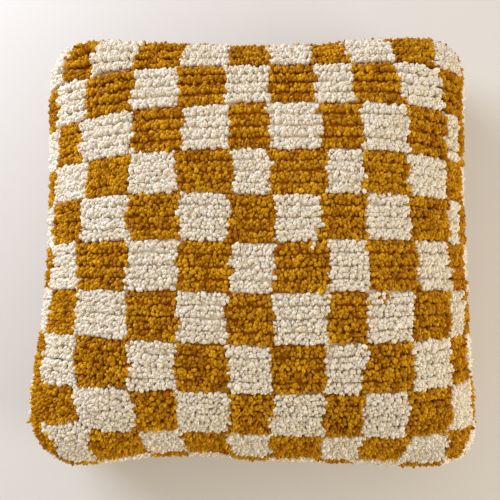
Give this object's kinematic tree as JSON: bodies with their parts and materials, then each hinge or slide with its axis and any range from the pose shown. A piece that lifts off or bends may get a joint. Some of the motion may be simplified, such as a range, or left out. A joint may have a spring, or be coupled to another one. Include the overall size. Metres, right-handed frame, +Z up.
{
  "type": "moroccan pouf",
  "caption": "Square floor pouf: a firmly stuffed, crowned cushion in a hand-knotted wool checkerboard cover, with rounded shoulders, bulging sides and a flat plain cloth base.",
  "frame": {"origin": "on the floor, under the middle of the pouf's bounding box", "axes": "+Z up through the crown of the top; X along the knot rows, +X to the right and +Y towards the back edge of the picture's view"},
  "size_m": [0.6186, 0.6142, 0.2004],
  "materials": {
    "knotted_wool": "hand-knotted wool pile in mustard and undyed cream checks",
    "cotton_canvas": "plain undyed cotton canvas"
  },
  "bodies": {
    "root": {"pile_cover": "knotted_wool", "base_panel": "cotton_canvas"}
  },
  "joints": []
}
